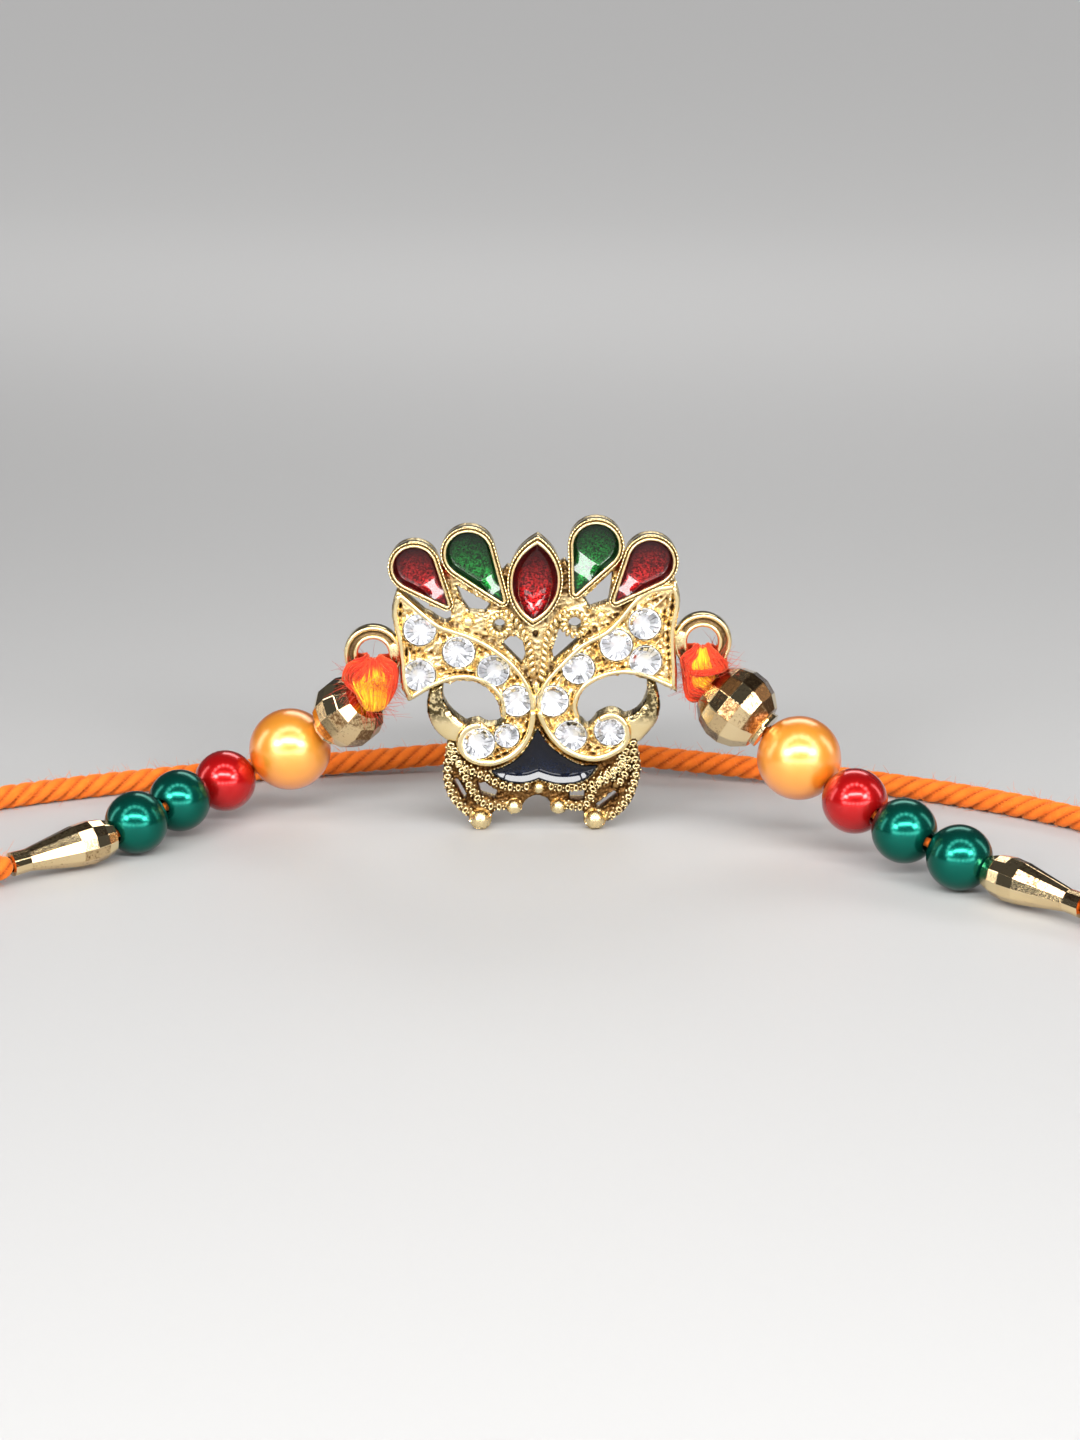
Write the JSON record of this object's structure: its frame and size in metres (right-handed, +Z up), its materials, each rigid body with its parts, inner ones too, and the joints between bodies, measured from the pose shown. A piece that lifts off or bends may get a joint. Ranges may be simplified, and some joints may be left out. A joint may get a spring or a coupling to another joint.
{
  "type": "rakhi thread bracelet",
  "caption": "Rakhi thread bracelet: a cast openwork gilt pendant with enamel petals and cut stones, pearls and faceted beads on each side, and an orange thread that ties round the wrist.",
  "frame": {"origin": "on the flat surface that the rakhi stands on, under the middle of the box round the pendant and its beads", "axes": "+X along the bead strings, to the viewer's right of the pendant; -Y the way the pendant faces; +Z up"},
  "size_m": [0.1351, 0.0539, 0.0312],
  "materials": {
    "gilt_casting": "bright pale gilt on cast metal, polished on its raised lines, orange-brown in its hollows",
    "red_enamel": "deep red enamel with fine glitter under a gloss",
    "green_enamel": "deep green enamel with fine glitter under a gloss",
    "navy_enamel": "dark navy enamel, mirror gloss",
    "cut_stone": "clear faceted glass with a bright foil behind",
    "gilt_bead": "mirror-bright gilt facets",
    "orange_pearl": "pearl lustre, glossy",
    "red_pearl": "pearl lustre, glossy",
    "green_pearl": "pearl lustre, glossy",
    "wound_thread": "fine soft fibres, orange and yellow",
    "orange_thread": "twisted soft yarn"
  },
  "bodies": {
    "root": {"bead_thread_left": "orange_thread", "bead_thread_right": "orange_thread", "closing_thread_left": "orange_thread", "closing_thread_right": "orange_thread", "enamel_green_left": "green_enamel", "enamel_green_right": "green_enamel", "enamel_navy": "navy_enamel", "enamel_red_centre": "red_enamel", "enamel_red_left": "red_enamel", "enamel_red_right": "red_enamel", "gold_bead_left": "gilt_bead", "gold_bead_right": "gilt_bead", "gold_cone_left": "gilt_bead", "gold_cone_right": "gilt_bead", "green_pearl_inner_left": "green_pearl", "green_pearl_inner_right": "green_pearl", "green_pearl_outer_left": "green_pearl", "green_pearl_outer_right": "green_pearl", "orange_pearl_left": "orange_pearl", "orange_pearl_right": "orange_pearl", "pendant_frame": "gilt_casting", "red_pearl_left": "red_pearl", "red_pearl_right": "red_pearl", "ring_wrap_left": "wound_thread", "ring_wrap_right": "wound_thread", "stone_left_1": "cut_stone", "stone_left_2": "cut_stone", "stone_left_3": "cut_stone", "stone_left_4": "cut_stone", "stone_left_5": "cut_stone", "stone_left_6": "cut_stone", "stone_left_7": "cut_stone", "stone_right_1": "cut_stone", "stone_right_2": "cut_stone", "stone_right_3": "cut_stone", "stone_right_4": "cut_stone", "stone_right_5": "cut_stone", "stone_right_6": "cut_stone", "stone_right_7": "cut_stone", "tie_knot": "orange_thread"}
  },
  "joints": []
}
